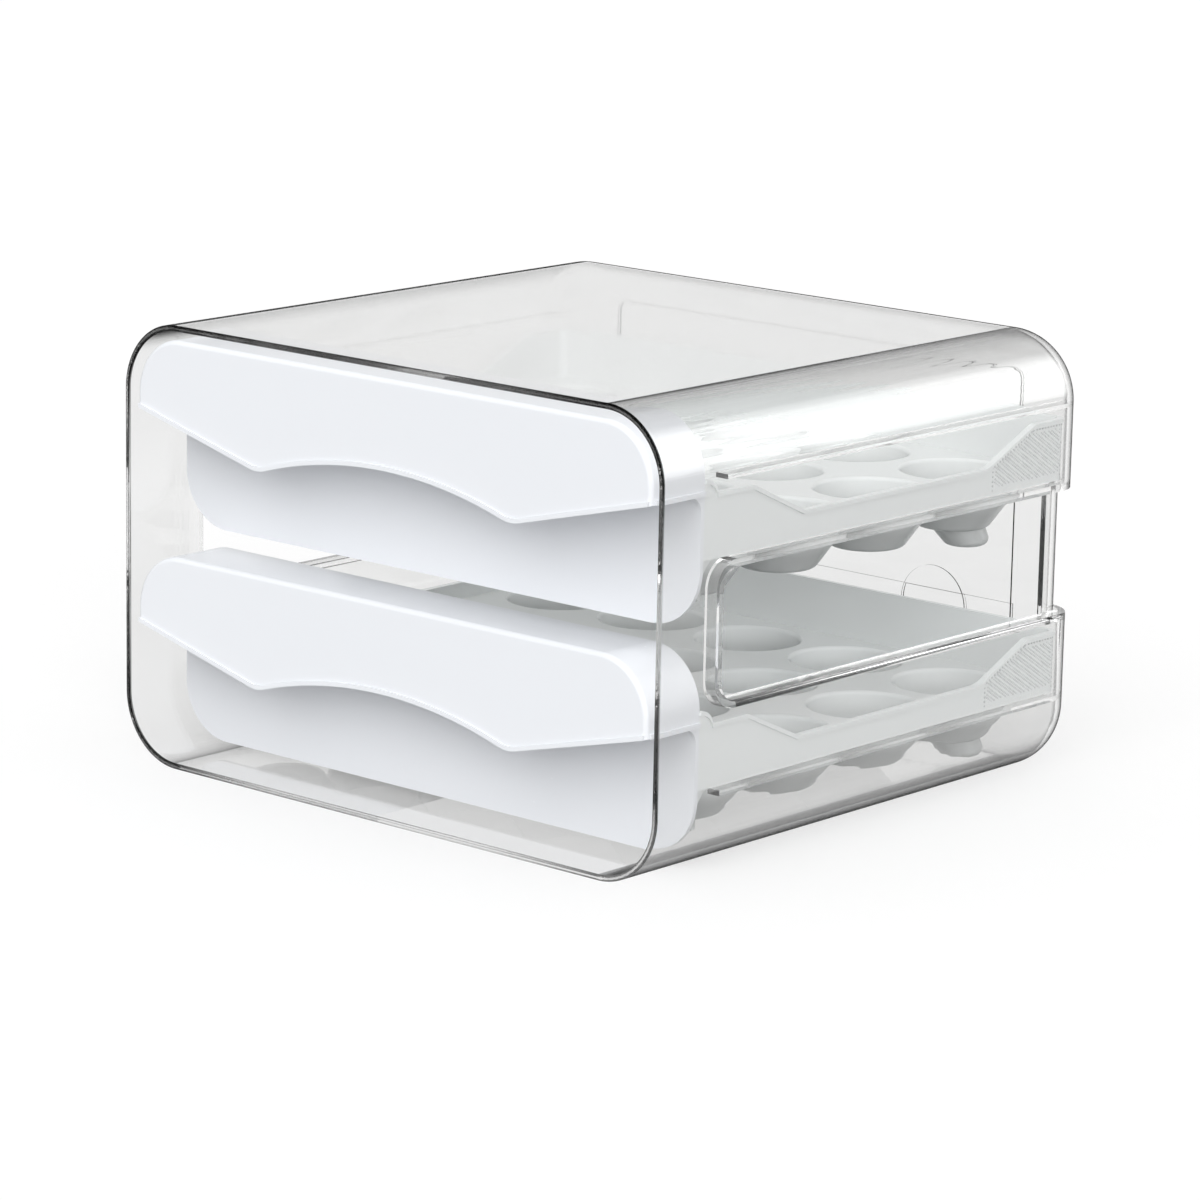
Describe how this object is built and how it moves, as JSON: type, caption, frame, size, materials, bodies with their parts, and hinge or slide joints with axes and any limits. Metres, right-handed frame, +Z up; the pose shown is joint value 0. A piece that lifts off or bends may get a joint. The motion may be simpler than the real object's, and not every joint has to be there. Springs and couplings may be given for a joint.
{
  "type": "egg storage drawer",
  "caption": "Clear open-fronted casing with side windows, holding stacked sliding egg drawers with hooded pull fronts and moulded cups.",
  "frame": {"origin": "middle of the footprint, on the surface that the casing stands on", "axes": "+X to the right across the front, +Y from the open front to the back wall, +Z up"},
  "size_m": [0.259, 0.24, 0.165],
  "materials": {
    "clear_plastic": "clear, polished",
    "white_plastic": "smooth, semi-gloss",
    "tray_plastic": "smooth, semi-gloss"
  },
  "bodies": {
    "casing": {"casing": "clear_plastic"},
    "lower_drawer": {"lower_drawer_front": "white_plastic", "lower_egg_tray": "tray_plastic"},
    "upper_drawer": {"upper_drawer_front": "white_plastic", "upper_egg_tray": "tray_plastic"}
  },
  "joints": [
    {"name": "lower_drawer_slide", "type": "slide", "parent": "casing", "child": "lower_drawer", "axis": [0, -1, 0], "range_m": [0, 0.19]},
    {"name": "upper_drawer_slide", "type": "slide", "parent": "casing", "child": "upper_drawer", "axis": [0, -1, 0], "range_m": [0, 0.19]}
  ]
}
